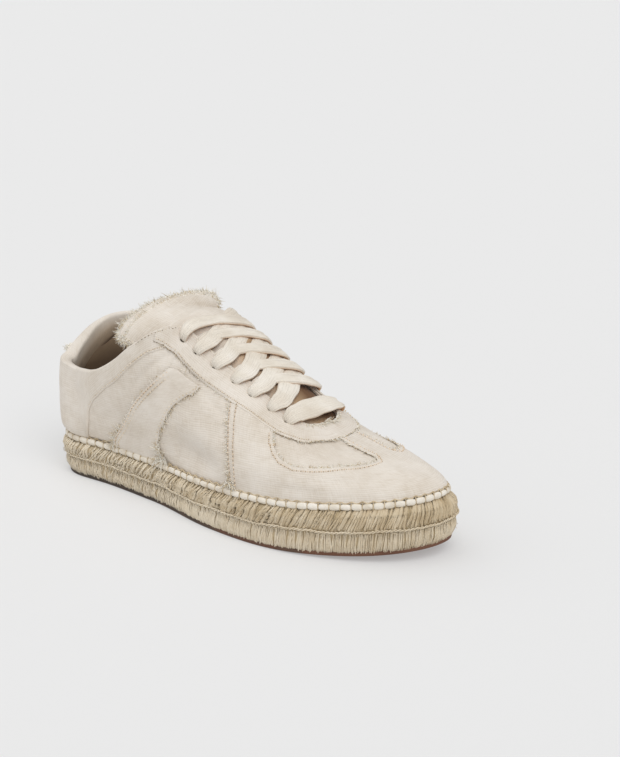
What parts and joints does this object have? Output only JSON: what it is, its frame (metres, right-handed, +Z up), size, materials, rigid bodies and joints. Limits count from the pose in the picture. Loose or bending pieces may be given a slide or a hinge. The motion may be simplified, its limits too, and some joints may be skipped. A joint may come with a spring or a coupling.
{
  "type": "sneaker",
  "caption": "Low-top lace-up canvas espadrille sneaker, right shoe, with raw-edged panels, a whip-stitched braided jute sole and a thin rubber outsole.",
  "frame": {"origin": "on the floor, under the middle of the shoe's bounding box", "axes": "+X from heel to toe, +Y to the inner (medial) side, +Z up; the outsole's heel and ball lie on Z = 0"},
  "size_m": [0.3023, 0.0967, 0.1307],
  "materials": {
    "canvas": "undyed cotton canvas, plain matt weave, with frayed cut edges",
    "lining": "plain matt cotton twill",
    "lace": "soft flat tubular cotton lace",
    "whip_yarn": "thick off-white cotton yarn",
    "jute": "stitched braided jute, rough and fibrous",
    "rubber": "matt brown vulcanised rubber"
  },
  "bodies": {
    "root": {"outsole": "rubber", "jute_sole": "jute", "whip_stitch": "whip_yarn", "insole": "lining", "upper": "canvas", "rear_quarter": "canvas", "side_band_lateral": "canvas", "side_band_medial": "canvas", "toe_guard": "canvas", "eyestay": "canvas", "tongue": "canvas", "laces": "lace"}
  },
  "joints": []
}
